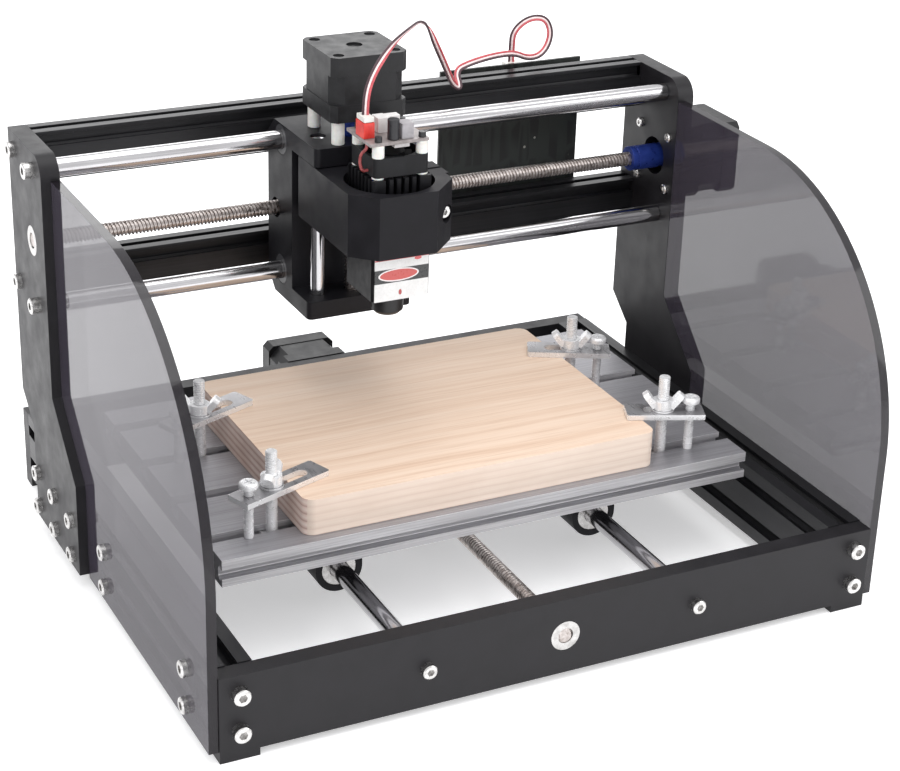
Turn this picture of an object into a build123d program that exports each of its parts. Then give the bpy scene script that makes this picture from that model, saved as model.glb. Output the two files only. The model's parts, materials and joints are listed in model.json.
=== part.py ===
from build123d import *
import math
import os

# Desktop laser cutter with a moving bed, modelled in millimetres, +Z up.
# The design is laid out in machine coordinates: x = 0 midway between the side plates,
# y = 0 on the front plate's face, z = 0 on the table. place() moves every node so that
# the finished origin is the bottom centre of the machine's bounding box.

# ---- frame -------------------------------------------------------------------------------
SPAN = 360.0                 # between the two side plates
PLATE = 10.0                 # thickness of the end and side plates
END_TOP = 45.5               # top of the front and rear plates
FOOT = 4.0                   # height of the feet under the end plates
FOOT_WIDTH = 20.0
REAR_FACE = 300.0            # inner face of the rear plate
BASE_BOTTOM, BASE_TOP = 6.0, 46.0
BASE_WIDTH = 20.0
BASE_SCREW_Z = (16.0, 36.0)  # one row per cell of the base profile
SIDE_TOP = 224.7             # top of the side plates
SIDE_BACK, SIDE_FRONT = 270.0, 213.0
SIDE_FOOT_BACK, SIDE_FOOT_FRONT = 252.0, 178.0
SIDE_FOOT_Z = 8.0
SIDE_SCREW_Y = (188.0, 217.5, 247.0)
BEAM_FRONT = 255.0           # front face of the two gantry beams
BEAM_HEIGHT = 26.0
BEAM_Z = (141.0, 211.7)      # centre heights of the beams
BEAM_SCREW_Z = (142.0, 214.7)

# ---- smoked baffles ----------------------------------------------------------------------
BAFFLE = 5.0
BAFFLE_RADIUS = 128.0
BAFFLE_TOP = 213.0
BAFFLE_NOSE = 1.0            # front edge
BAFFLE_GAP = 0.3             # to the side plate behind it
BAFFLE_SCREW_Y = (30.0, 149.0)

# ---- guide rods and lead screws ----------------------------------------------------------
ROD = 5.0                    # radius of the X and Y rods
Z_ROD = 4.0
SCREW = 4.0                  # radius of the lead screws
RUNNING = 0.05               # radial clearance of a running fit
X_ROD_Y = 228.0
X_ROD_Z = (141.6, 214.7)
X_SCREW_Y, X_SCREW_Z = 235.0, 174.5
Y_ROD_X = 75.0
Y_AXIS_Z = 25.0
BEARING_RADIUS, BEARING_WIDTH = 8.0, 5.0

# ---- motors ------------------------------------------------------------------------------
MOTOR = 42.0
MOTOR_LENGTH = 34.0
MOTOR_HOLES = 31.0
PILOT_RADIUS, PILOT_HEIGHT = 11.0, 2.0
SHAFT = 2.5
COUPLING_RADIUS = 7.0
Z_MOTOR_Z = 236.0            # mounting face of the Z motor

# ---- X carriage --------------------------------------------------------------------------
TOOL_X = -26.0               # centre plane of the carriage, tool and Z motor
CARRIAGE_HALF = 30.0
WALL_FRONT, WALL_BACK = 212.5, 246.0
CARRIAGE_BOTTOM, CARRIAGE_TOP = 126.0, 223.5
SHELF = 10.0                 # thickness of the top and bottom shelves
TOP_SHELF_FRONT = 181.0
BOTTOM_SHELF_FRONT = 190.0
Z_AXIS_Y = 201.7
Z_ROD_PITCH = 40.0

# ---- tool clamp and laser ----------------------------------------------------------------
TOOL_Y = 155.0
CLAMP_HALF = 29.5            # half the width of the clamp's body
CLAMP_FRONT, CLAMP_BACK = 129.5, 211.0
CLAMP_BOTTOM, CLAMP_TOP = 180.0, 213.0
CLAMP_BORE = 23.1
CLAMP_SCREW = (-1.2, 146.0, 195.7)   # under the head of the pinch screw
LASER_X = TOOL_X - 0.8       # the laser sits a little off the carriage's centre
LASER = 32.5                 # width of the square heat sink
LASER_BOTTOM, LASER_TOP = 154.0, 218.5
FIN_BOTTOM = 190.0           # the cooling grooves run from here to the top
FACEPLATE = (30.0, 0.6, 34.0)
LENS_BOTTOM = 141.0
FAN = 30.0
FAN_BOTTOM, FAN_TOP = 219.5, 229.5
PCB_BOTTOM, PCB = 236.0, 1.6
POST_PITCH = 24.0

# ---- bed ---------------------------------------------------------------------------------
BED_X = 150.0                # half width
BED_FRONT, BED_BACK = 74.3, 254.3
BED_BOTTOM, BED_TOP = 46.7, 61.7
SLOT_PITCH = 45.0
SLOT_MOUTH, SLOT_WIDE = 8.0, 14.0
SLOT_LIP, SLOT_DEPTH = 3.2, 9.0
BLOCK_LENGTH = 30.0          # bearing blocks under the bed
BLOCK_RADIUS = 13.0
BLOCK_FRONT = 104.0
BOARD_SIZE = (200.0, 150.0, 20.0)
BOARD_CENTRE = (-4.0, 155.0)
BOARD_CORNER = 6.0

# ---- hold-down clamps --------------------------------------------------------------------
STRAP = (15.0, 3.0)          # width and thickness of the slotted strap
STRAP_TAIL = 22.0            # from the bolt to the strap's outer end
SUPPORT_REACH = 15.0         # from the bolt to the support screw
BOLT_HEAD = (9.0, 12.4, 3.7) # T-bolt head: along the slot, across it, and its height
STUD = 3.0                   # radius of the T-bolt's shank
STUD_TOP = 104.0
STRAP_GAP = 0.05             # strap to board

# ---- control board -----------------------------------------------------------------------
BOARD_X = (59.8, 150.0)
BOARD_Z = (127.0, 226.0)
BOARD_Y = 274.0

# The machine's own bounding box, from its outermost screws and motors.
SCREW_HEAD = 5.0
LOW_X = -SPAN / 2 - PLATE - SCREW_HEAD
HIGH_X = SPAN / 2 + PLATE + MOTOR_LENGTH
LOW_Y = -SCREW_HEAD
HIGH_Y = REAR_FACE + PLATE + MOTOR_LENGTH
CENTRE = ((LOW_X + HIGH_X) / 2, (LOW_Y + HIGH_Y) / 2)

BED_MIDDLE = (BED_FRONT + BED_BACK) / 2
SLOTS = [BED_MIDDLE + SLOT_PITCH * n for n in (-1.5, -0.5, 0.5, 1.5)]
INNER = SPAN / 2
TURN = {"X": (0, 90, 0), "Y": (-90, 0, 0), "Z": (0, 0, 0)}
nodes = {}


# ---- helpers -----------------------------------------------------------------------------
def block(x0, x1, y0, y1, z0, z1):
    """Rectangular block between two opposite corners."""
    return Pos((x0 + x1) / 2, (y0 + y1) / 2, (z0 + z1) / 2) * Box(x1 - x0, y1 - y0, z1 - z0)


def bar(axis, x, y, z, length, radius):
    """Round bar that starts at a point and runs along the positive axis."""
    round_bar = Cylinder(radius, length, align=(Align.CENTER, Align.CENTER, Align.MIN))
    return Location((x, y, z), TURN[axis]) * round_bar


def ring(axis, x, y, z, length, outer, inner):
    """Round tube that starts at a point and runs along the positive axis."""
    return bar(axis, x, y, z, length, outer) - bar(axis, x, y, z, length, inner)


def slab(points, x, thickness):
    """Flat plate whose outline is given in (y, z), standing on plane x."""
    outline = Plane.YZ.offset(x) * make_face(Polyline(*points, close=True))
    return extrude(outline, thickness)


def mirrored(shape):
    """The same shape on the other side of the machine's centre plane."""
    return mirror(shape, about=Plane.YZ)


def socket_screw(axis, x, y, z, shank, toward=1, head=4.25, height=SCREW_HEAD, radius=2.45):
    """Socket-head screw: the head's underside is at the point, the shank runs toward +1 or -1."""
    turn = Location((x, y, z), TURN[axis])
    if toward < 0:
        turn = turn * Location((0, 0, 0), (180, 0, 0))
    cap = Cylinder(head, height, align=(Align.CENTER, Align.CENTER, Align.MAX))
    cap = chamfer(cap.edges().sort_by(Axis.Z)[0], 0.5)
    hexagon = extrude(Plane.XY.offset(-height) * RegularPolygon(head * 0.52, 6), height * 0.55)
    body = cap - hexagon + Cylinder(radius, shank, align=(Align.CENTER, Align.CENTER, Align.MIN))
    return turn * body


def slot_face(mouth, wide, lip, depth, straight=0.35):
    """Cross-section of a T-slot cut downwards from v = 0, centred on u = 0.

    straight is the share of the pocket's height whose walls are upright.
    """
    half, inner, root = mouth / 2, wide / 2, mouth * 0.45
    shoulder = lip + (depth - lip) * straight
    side = [(half, 0), (half, -lip), (inner, -lip), (inner, -shoulder), (root, -depth)]
    other = [(-u, v) for u, v in reversed(side)]
    return make_face(Polyline(*side, *other, close=True))


def add(name, *solids):
    """Store a node; several pieces of one kind share it."""
    nodes[name] = list(solids)


# ---- end plates and base profiles --------------------------------------------------------
def end_plate(y, seats_bearing):
    """Front or rear plate with two feet, screw holes and the hole for the Y drive."""
    plate = block(-INNER, INNER, y, y + PLATE, FOOT, END_TOP)
    for side in (-1, 1):
        low, high = sorted((side * INNER, side * (INNER - FOOT_WIDTH)))
        plate += block(low, high, y, y + PLATE, 0, FOOT)
        for z in BASE_SCREW_Z:
            plate -= bar("Y", side * (INNER - BASE_WIDTH / 2), y, z, PLATE, 2.5)
        plate -= bar("Y", side * Y_ROD_X, y, Y_AXIS_Z, PLATE, 2.5)
    if seats_bearing:
        plate -= bar("Y", 0, y, Y_AXIS_Z, BEARING_WIDTH, BEARING_RADIUS)
        plate -= bar("Y", 0, y, Y_AXIS_Z, PLATE, BEARING_RADIUS - 2)
        return plate
    plate -= bar("Y", 0, y, Y_AXIS_Z, PLATE, PILOT_RADIUS)
    for dx, dz in motor_corners():
        plate -= bar("Y", dx, y, Y_AXIS_Z + dz, PLATE, 1.6)
    return plate


def motor_corners():
    """Offsets of the four motor screws from the motor's axis."""
    half = MOTOR_HOLES / 2
    return [(a * half, b * half) for a in (-1, 1) for b in (-1, 1)]


def base_profile():
    """Right-hand base profile: two square cells, six T-slots and tapped ends."""
    face = Rectangle(BASE_WIDTH, BASE_TOP - BASE_BOTTOM)
    slot = slot_face(6.2, 11.0, 1.8, 6.1)
    for v in (-10.0, 10.0):
        face -= Pos(BASE_WIDTH / 2, v) * Rot(0, 0, -90) * slot
        face -= Pos(-BASE_WIDTH / 2, v) * Rot(0, 0, 90) * slot
        face -= Pos(0, v) * Circle(2.5)
    face -= Pos(0, 20) * slot
    face -= Pos(0, -20) * Rot(0, 0, 180) * slot
    centre = (INNER - BASE_WIDTH / 2, PLATE, (BASE_BOTTOM + BASE_TOP) / 2)
    plane = Plane(origin=centre, x_dir=(1, 0, 0), z_dir=(0, -1, 0))
    return extrude(plane * face, -(REAR_FACE - PLATE))


right_base = base_profile()
add("front_plate", end_plate(0, True))
add("rear_plate", end_plate(REAR_FACE, False))
add("base_profiles", mirrored(right_base), right_base)


# ---- side plates and gantry beams --------------------------------------------------------
def side_plate():
    """Right-hand side plate, without the holes that belong to one side only."""
    outline = [
        (SIDE_FOOT_FRONT, SIDE_FOOT_Z), (SIDE_FOOT_BACK, SIDE_FOOT_Z), (SIDE_FOOT_BACK, 62),
        (SIDE_BACK, 77), (SIDE_BACK, SIDE_TOP), (SIDE_FRONT, SIDE_TOP), (SIDE_FRONT, 95),
        (SIDE_FOOT_FRONT, 60),
    ]
    plate = slab(outline, INNER, PLATE)
    corner = (INNER + PLATE / 2, SIDE_FRONT, SIDE_TOP)
    plate = fillet(plate.edges().filter_by(Axis.X).sort_by_distance(corner)[0], 11)
    for y in SIDE_SCREW_Y:
        for z in BASE_SCREW_Z:
            plate -= bar("X", INNER, y, z, PLATE, 2.6)
    for z in X_ROD_Z:
        plate -= bar("X", INNER, X_ROD_Y, z, PLATE, 2.5)
    for z in BEAM_SCREW_Z:
        plate -= bar("X", INNER, (BEAM_FRONT + SIDE_BACK) / 2, z, PLATE, 2.5)
    return plate


def beam(z, screw_z):
    """Gantry beam: two T-slots front and back, a narrow one above and below, tapped ends."""
    depth = SIDE_BACK - BEAM_FRONT
    middle = (BEAM_FRONT + SIDE_BACK) / 2
    face = Rectangle(depth, BEAM_HEIGHT)
    slot = slot_face(6.0, 9.5, 1.5, 4.0)
    for v in (-8.0, 8.0):
        face -= Pos(depth / 2, v) * Rot(0, 0, -90) * slot
        face -= Pos(-depth / 2, v) * Rot(0, 0, 90) * slot
    groove = slot_face(4.0, 5.0, 1.2, 3.0)
    face -= Pos(0, BEAM_HEIGHT / 2) * groove
    face -= Pos(0, -BEAM_HEIGHT / 2) * Rot(0, 0, 180) * groove
    profile = extrude(Plane.YZ.offset(-INNER) * Pos(middle, z) * face, SPAN)
    for x in (-INNER, INNER - 16):
        profile -= bar("X", x, middle, screw_z, 16, 2.5)
    return profile


side_right = side_plate()
side_left = mirrored(side_right)
side_left -= bar("X", -INNER - PLATE, X_SCREW_Y, X_SCREW_Z, BEARING_WIDTH, BEARING_RADIUS)
side_left -= bar("X", -INNER - PLATE, X_SCREW_Y, X_SCREW_Z, PLATE, BEARING_RADIUS - 2)
side_right -= bar("X", INNER, X_SCREW_Y, X_SCREW_Z, PLATE, PILOT_RADIUS)
for dy, dz in motor_corners():
    side_right -= bar("X", INNER, X_SCREW_Y + dy, X_SCREW_Z + dz, PLATE, 1.6)
add("side_plate_left", side_left)
add("side_plate_right", side_right)
add("gantry_beams", *[beam(z, screw_z) for z, screw_z in zip(BEAM_Z, BEAM_SCREW_Z)])


# ---- baffles -----------------------------------------------------------------------------
def baffle():
    """Right-hand smoked baffle: a quarter-round nose over the front of the machine."""
    centre_y, centre_z = BAFFLE_NOSE + BAFFLE_RADIUS, BAFFLE_TOP - BAFFLE_RADIUS
    lean = BAFFLE_RADIUS * math.sqrt(0.5)
    crown = ThreePointArc(
        (centre_y, BAFFLE_TOP), (centre_y - lean, centre_z + lean), (BAFFLE_NOSE, centre_z))
    back = SIDE_FRONT - BAFFLE_GAP
    foot_back = SIDE_FOOT_FRONT - BAFFLE_GAP
    rest = Polyline(
        (BAFFLE_NOSE, centre_z), (BAFFLE_NOSE, BASE_BOTTOM), (foot_back, BASE_BOTTOM),
        (foot_back, 60), (back, 95), (back, BAFFLE_TOP), (centre_y, BAFFLE_TOP))
    sheet = extrude(Plane.YZ.offset(INNER) * make_face([crown, rest]), BAFFLE)
    for y in BAFFLE_SCREW_Y:
        for z in BASE_SCREW_Z:
            sheet -= bar("X", INNER, y, z, BAFFLE, 2.6)
    return sheet


right_baffle = baffle()
add("baffle_left", mirrored(right_baffle))
add("baffle_right", right_baffle)


# ---- guide rods --------------------------------------------------------------------------
def tapped_rod(axis, x, y, z, length):
    """Ground rod with an M5 hole in each end."""
    rod = bar(axis, x, y, z, length, ROD)
    rod -= bar(axis, x, y, z, 14, 2.5)
    reach = length - 14
    far = (x + reach, y, z) if axis == "X" else (x, y + reach, z)
    return rod - bar(axis, *far, 14, 2.5)


add("x_rods", *[tapped_rod("X", -INNER, X_ROD_Y, z, SPAN) for z in X_ROD_Z])
add("y_rods", *[tapped_rod("Y", x, PLATE, Y_AXIS_Z, REAR_FACE - PLATE) for x in (-Y_ROD_X, Y_ROD_X)])


# ---- fasteners of the frame --------------------------------------------------------------
def t_nut(x, y, z, side):
    """Nut that sits in a base profile's side slot."""
    low, high = sorted((side * x, side * (x - 2.2)))
    return block(low, high, y - 5, y + 5, z - 4.5, z + 4.5) - bar("X", low, y, z, 2.2, 2.45)


def frame_fasteners():
    """Screws that hold the frame together, and the slot nuts behind the side plates."""
    found = []
    for side in (-1, 1):
        end_x = side * (INNER - BASE_WIDTH / 2)
        outer = side * (INNER + PLATE)
        for z in BASE_SCREW_Z:
            found.append(socket_screw("Y", end_x, 0, z, 24))
            found.append(socket_screw("Y", end_x, REAR_FACE + PLATE, z, 24, toward=-1))
            for y in SIDE_SCREW_Y:
                found.append(socket_screw("X", outer, y, z, 15, toward=-side, height=3))
                found.append(t_nut(INNER - 1.8, y, z, side))
        found.append(socket_screw("Y", side * Y_ROD_X, 0, Y_AXIS_Z, 22, head=3.75, height=4))
        found.append(socket_screw(
            "Y", side * Y_ROD_X, REAR_FACE + PLATE, Y_AXIS_Z, 22, toward=-1, head=3.75, height=4))
        height = SCREW_HEAD if side < 0 else 3.0
        for z in X_ROD_Z:
            found.append(socket_screw("X", outer, X_ROD_Y, z, 22, toward=-side, height=height))
        for z in BEAM_SCREW_Z:
            middle = (BEAM_FRONT + SIDE_BACK) / 2
            found.append(socket_screw("X", outer, middle, z, 22, toward=-side, height=3))
    return found


def baffle_fasteners():
    """Screws and slot nuts of the two baffles."""
    found = []
    for side in (-1, 1):
        for y in BAFFLE_SCREW_Y:
            for z in BASE_SCREW_Z:
                found.append(socket_screw("X", side * (INNER + BAFFLE), y, z, 10, toward=-side, height=3))
                found.append(t_nut(INNER - 1.8, y, z, side))
    return found


add("frame_fasteners", *frame_fasteners())
add("baffle_fasteners", *baffle_fasteners())


# ---- motors ------------------------------------------------------------------------------
def motor(axis, x, y, z):
    """Square stepper motor: mounting face at the point, body along the positive axis."""
    parts = None
    for low, high, width, corner in (
            (0, 9, MOTOR, 3.0), (9, 24, MOTOR - 0.8, 6.5), (24, MOTOR_LENGTH, MOTOR, 3.0)):
        section = Pos(0, 0, low) * Box(
            width, width, high - low, align=(Align.CENTER, Align.CENTER, Align.MIN))
        section = chamfer(section.edges().filter_by(Axis.Z), corner)
        parts = section if parts is None else parts + section
    parts += Cylinder(PILOT_RADIUS, PILOT_HEIGHT, align=(Align.CENTER, Align.CENTER, Align.MAX))
    parts -= Pos(0, 0, -PILOT_HEIGHT) * Cylinder(
        SHAFT + RUNNING, MOTOR_LENGTH - 2, align=(Align.CENTER, Align.CENTER, Align.MIN))
    parts -= Pos(0, 0, MOTOR_LENGTH - 1.2) * Cylinder(4.2, 1.2, align=(Align.CENTER, Align.CENTER, Align.MIN))
    for dx, dy in motor_corners():
        parts -= Pos(dx, dy, 0) * Cylinder(1.5, 5, align=(Align.CENTER, Align.CENTER, Align.MIN))
        parts -= Pos(dx, dy, MOTOR_LENGTH - 1) * Cylinder(
            2.9, 1, align=(Align.CENTER, Align.CENTER, Align.MIN))
    return Location((x, y, z), TURN[axis]) * parts


def motor_screws():
    """Small screws that hold the X motor to the side plate and the Y motor to the rear plate."""
    found = []
    for a, b in motor_corners():
        found.append(socket_screw(
            "X", INNER, X_SCREW_Y + a, X_SCREW_Z + b, 14.5, head=2.7, height=2, radius=1.45))
        found.append(socket_screw(
            "Y", a, REAR_FACE, Y_AXIS_Z + b, 14.5, head=2.7, height=2, radius=1.45))
    return found


add("x_motor", motor("X", INNER + PLATE, X_SCREW_Y, X_SCREW_Z))
add("y_motor", motor("Y", 0, REAR_FACE + PLATE, Y_AXIS_Z))
nodes["frame_fasteners"] += motor_screws()
add("z_motor", motor("Z", TOOL_X, Z_AXIS_Y, Z_MOTOR_Z))


# ---- lead screws, couplings and end bearings ---------------------------------------------
def drive(axis, x, y, z, screw_start, screw_end, face, coupling_length):
    """Lead screw, coupling and motor shaft on one line; numbers are positions along the axis."""
    def at(value):
        return {"X": (value, y, z), "Y": (x, value, z), "Z": (x, y, value)}[axis]

    coupling_start = face - PILOT_HEIGHT - 1 - coupling_length
    screw = bar(axis, *at(screw_start), screw_end - screw_start, SCREW)
    shaft = bar(axis, *at(screw_end), face + 26 - screw_end, SHAFT)
    coupling = bar(axis, *at(coupling_start), coupling_length, COUPLING_RADIUS)
    coupling -= bar(axis, *at(coupling_start), screw_end - coupling_start, SCREW)
    coupling -= bar(axis, *at(coupling_start), coupling_length, SHAFT)
    for share in (0.15, 0.85):
        groove = at(coupling_start + coupling_length * share)
        coupling -= ring(axis, *groove, 0.7, COUPLING_RADIUS, COUPLING_RADIUS - 0.6)
    return screw, coupling, shaft


x_screw, x_coupling, x_shaft = drive(
    "X", 0, X_SCREW_Y, X_SCREW_Z, -INNER - PLATE + 0.5, 174, INNER + PLATE, 24)
y_screw, y_coupling, y_shaft = drive("Y", 0, 0, Y_AXIS_Z, 0.5, 294, REAR_FACE + PLATE, 24)
z_screw, z_coupling, z_shaft = drive("Z", TOOL_X, Z_AXIS_Y, 0, 130, 224, Z_MOTOR_Z, 18.5)
add("x_lead_screw", x_screw)
add("x_coupling", x_coupling, x_shaft)
add("y_lead_screw", y_screw)
add("y_coupling", y_coupling, y_shaft)
add("z_lead_screw", z_screw)
add("z_coupling", z_coupling, z_shaft)
add("screw_bearings",
    ring("X", -INNER - PLATE, X_SCREW_Y, X_SCREW_Z, BEARING_WIDTH, BEARING_RADIUS, SCREW + RUNNING),
    ring("Y", 0, 0, Y_AXIS_Z, BEARING_WIDTH, BEARING_RADIUS, SCREW + RUNNING))


# ---- X carriage --------------------------------------------------------------------------
def carriage_block():
    """Moulded block: a wall on the X rods with a shelf above and below for the Z axis."""
    low_x, high_x = TOOL_X - CARRIAGE_HALF, TOOL_X + CARRIAGE_HALF
    wall = block(low_x, high_x, WALL_FRONT, WALL_BACK, CARRIAGE_BOTTOM, CARRIAGE_TOP)
    back_edges = wall.faces().sort_by(Axis.Y)[-1].edges().filter_by(Axis.X)
    wall = chamfer(back_edges, 9)
    top = block(low_x, high_x, TOP_SHELF_FRONT, WALL_FRONT, CARRIAGE_TOP - SHELF, CARRIAGE_TOP)
    bottom = block(
        low_x, high_x, BOTTOM_SHELF_FRONT, WALL_FRONT, CARRIAGE_BOTTOM, CARRIAGE_BOTTOM + SHELF)
    body = wall + top + bottom
    uprights = body.faces().sort_by(Axis.Y)[:2].edges().filter_by(Axis.Z)
    body = fillet(uprights, 3)
    for z in X_ROD_Z:
        body -= bar("X", low_x, X_ROD_Y, z, 2 * CARRIAGE_HALF, 8)
    body -= bar("X", low_x, X_SCREW_Y, X_SCREW_Z, 2 * CARRIAGE_HALF, 5.5)
    for side in (-1, 1):
        x = TOOL_X + side * Z_ROD_PITCH / 2
        body -= bar("Z", x, Z_AXIS_Y, CARRIAGE_BOTTOM + 2, CARRIAGE_TOP, Z_ROD)
    body -= bar("Z", TOOL_X, Z_AXIS_Y, 129, 40, SCREW + RUNNING)
    body -= bar("Z", TOOL_X, Z_AXIS_Y, CARRIAGE_TOP - SHELF, SHELF, 8.5)
    return body


def carriage_bushings():
    """Plain bushings at both ends of each X-rod bore."""
    length = 24.0
    found = []
    for z in X_ROD_Z:
        for x in (TOOL_X - CARRIAGE_HALF, TOOL_X + CARRIAGE_HALF - length):
            found.append(ring("X", x, X_ROD_Y, z, length, 8, ROD + RUNNING))
    return found


add("carriage_block", carriage_block())
add("carriage_bushings", *carriage_bushings())
nut_x = TOOL_X + CARRIAGE_HALF
x_nut = bar("X", nut_x - 12, X_SCREW_Y, X_SCREW_Z, 12, 5.5)
x_nut += bar("X", nut_x, X_SCREW_Y, X_SCREW_Z, 3.5, 11)
add("x_nut", x_nut - bar("X", nut_x - 12, X_SCREW_Y, X_SCREW_Z, 16, SCREW + RUNNING))
add("z_rods", *[
    bar("Z", TOOL_X + side * Z_ROD_PITCH / 2, Z_AXIS_Y, CARRIAGE_BOTTOM + 2, 94.5, Z_ROD)
    for side in (-1, 1)])
add("motor_standoffs", *[
    bar("Z", TOOL_X + a, Z_AXIS_Y + b, CARRIAGE_TOP, Z_MOTOR_Z - CARRIAGE_TOP, 3.4)
    for a, b in motor_corners()])


# ---- tool clamp --------------------------------------------------------------------------
def tool_clamp():
    """Split block with a round bore for the laser, sliding on the Z rods behind it."""
    height = CLAMP_TOP - CLAMP_BOTTOM
    low_x, high_x = TOOL_X - CLAMP_HALF, TOOL_X + CLAMP_HALF
    body = block(low_x, high_x, CLAMP_FRONT, CLAMP_BACK, CLAMP_BOTTOM, CLAMP_TOP)
    uprights = body.edges().filter_by(Axis.Z)
    left, right = uprights.group_by(Axis.Y)[0].sort_by(Axis.X)
    body = chamfer(uprights.group_by(Axis.Y)[-1], 6)
    body = chamfer(body.edges().filter_by(Axis.Z).sort_by_distance(left.center())[0], 12)
    body = chamfer(body.edges().filter_by(Axis.Z).sort_by_distance(right.center())[0], 15)
    body += block(high_x - 1, high_x + 2, TOOL_Y - 2, 172, CLAMP_BOTTOM, CLAMP_TOP)
    body -= bar("Z", LASER_X, TOOL_Y, CLAMP_BOTTOM, height, CLAMP_BORE)
    body -= block(TOOL_X + 18, high_x + 2, TOOL_Y + 6, TOOL_Y + 8, CLAMP_BOTTOM, CLAMP_TOP)
    screw_x, screw_y, screw_z = CLAMP_SCREW
    body -= bar("Y", screw_x, screw_y, screw_z, 20, 2.05)
    body -= bar("Y", screw_x, CLAMP_FRONT, screw_z, screw_y - CLAMP_FRONT, 4.75)
    for side in (-1, 1):
        x = TOOL_X + side * Z_ROD_PITCH / 2
        body -= bar("Z", x, Z_AXIS_Y, CLAMP_BOTTOM, height, 7.5)
    return body - bar("Z", TOOL_X, Z_AXIS_Y, CLAMP_BOTTOM, height, 5.2)


add("tool_clamp", tool_clamp())
add("clamp_screw", socket_screw("Y", *CLAMP_SCREW, 19, head=3.6, height=3, radius=2.0))
add("z_bushings", *[
    ring("Z", TOOL_X + side * Z_ROD_PITCH / 2, Z_AXIS_Y, CLAMP_BOTTOM + 0.5, 32, 7.5, Z_ROD + RUNNING)
    for side in (-1, 1)])
z_nut = bar("Z", TOOL_X, Z_AXIS_Y, CLAMP_BOTTOM, 14, 5.2)
z_nut += bar("Z", TOOL_X, Z_AXIS_Y, CLAMP_BOTTOM - 3.5, 3.5, 10.5)
add("z_nut", z_nut - bar("Z", TOOL_X, Z_AXIS_Y, CLAMP_BOTTOM - 4, 20, SCREW + RUNNING))


# ---- laser head --------------------------------------------------------------------------
def laser_heatsink():
    """Square heat sink with cooling grooves round its top and a bore for the lens."""
    half = LASER / 2
    body = block(LASER_X - half, LASER_X + half, TOOL_Y - half, TOOL_Y + half, LASER_BOTTOM, LASER_TOP)
    body = chamfer(body.edges().filter_by(Axis.Z), 1.2)
    pitch, groove, depth = 4.2, 2.0, 4.0
    for n in (-3, -2, -1, 0, 1, 2, 3):
        for side in (-1, 1):
            near, far = sorted((side * half, side * (half - depth)))
            low, high = n * pitch - groove / 2, n * pitch + groove / 2
            body -= block(LASER_X + near, LASER_X + far, TOOL_Y + low, TOOL_Y + high, FIN_BOTTOM, LASER_TOP)
            if abs(n) < 3:
                body -= block(LASER_X + low, LASER_X + high, TOOL_Y + near, TOOL_Y + far,
                              FIN_BOTTOM, LASER_TOP)
    return body - bar("Z", LASER_X, TOOL_Y, LASER_BOTTOM, 9, 5)


def faceplate():
    """Thin printed panel on the front of the heat sink, below the grooves."""
    width, thick, height = FACEPLATE
    front = TOOL_Y - LASER / 2
    return block(LASER_X - width / 2, LASER_X + width / 2, front - thick, front,
                 LASER_BOTTOM, LASER_BOTTOM + height)


def lens_barrel():
    """Focus ring with a neck that turns in the heat sink."""
    grip = bar("Z", LASER_X, TOOL_Y, LENS_BOTTOM, LASER_BOTTOM - LENS_BOTTOM - 0.3, 8.4)
    grip = chamfer(grip.edges().sort_by(Axis.Z)[0], 2)
    barrel = grip + bar("Z", LASER_X, TOOL_Y, LASER_BOTTOM - 1, 9, 5 - RUNNING)
    return barrel - bar("Z", LASER_X, TOOL_Y, LENS_BOTTOM, 2.5, 3)


def fan_housing():
    """Small square fan: frame, hub plate on three struts, and the rotor's pin."""
    depth = FAN_TOP - FAN_BOTTOM
    half = FAN / 2
    body = block(LASER_X - half, LASER_X + half, TOOL_Y - half, TOOL_Y + half, FAN_BOTTOM, FAN_TOP)
    body = fillet(body.edges().filter_by(Axis.Z), 2.5)
    body -= bar("Z", LASER_X, TOOL_Y, FAN_BOTTOM, depth, 13.8)
    body += bar("Z", LASER_X, TOOL_Y, FAN_BOTTOM, 1.2, 8)
    for turn in (30, 150, 270):
        body += (Pos(LASER_X, TOOL_Y, FAN_BOTTOM + 0.6) * Rot(0, 0, turn) * Pos(10.5, 0, 0)
                 * Box(7, 1.6, 1.2))
    body += bar("Z", LASER_X, TOOL_Y, FAN_BOTTOM, 7, 1.2)
    for a, b in posts():
        body -= bar("Z", LASER_X + a, TOOL_Y + b, FAN_BOTTOM, depth, 1.6)
    return body


def posts():
    """Offsets of the four posts that carry the fan and the driver board."""
    half = POST_PITCH / 2
    return [(a * half, b * half) for a in (-1, 1) for b in (-1, 1)]


def fan_rotor():
    """Hub with seven pitched blades."""
    low = FAN_BOTTOM + 1.6
    hub = bar("Z", LASER_X, TOOL_Y, low, 7.4, 7.5)
    for n in range(7):
        blade = Pos(9.9, 0, 0) * Rot(35, 0, 0) * Box(6.4, 5.6, 0.9)
        hub += Pos(LASER_X, TOOL_Y, low + 3.7) * Rot(0, 0, n * 360 / 7) * blade
    return hub - bar("Z", LASER_X, TOOL_Y, low, 5.6, 1.2 + RUNNING)


def nylon_post(a, b):
    """Washer, shank through the fan and board, spacer between them, and a nut on top."""
    x, y = LASER_X + a, TOOL_Y + b
    post = bar("Z", x, y, LASER_TOP, FAN_BOTTOM - LASER_TOP, 3.1)
    post += bar("Z", x, y, FAN_BOTTOM, PCB_BOTTOM + PCB - FAN_BOTTOM, 1.5)
    return post + bar("Z", x, y, FAN_TOP, PCB_BOTTOM - FAN_TOP, 3.1)


def driver_board():
    """Board on top of the four posts, standing out on the left."""
    left, right = LASER_X - 17.4, LASER_X + 14.8
    board = block(left, right, TOOL_Y - 14.5, TOOL_Y + 14.5, PCB_BOTTOM, PCB_BOTTOM + PCB)
    for a, b in posts():
        board -= bar("Z", LASER_X + a, TOOL_Y + b, PCB_BOTTOM, PCB, 1.6)
    return board


board_top = PCB_BOTTOM + PCB
socket_x, socket_y = LASER_X - 17.2, TOOL_Y - 6.0


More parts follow.
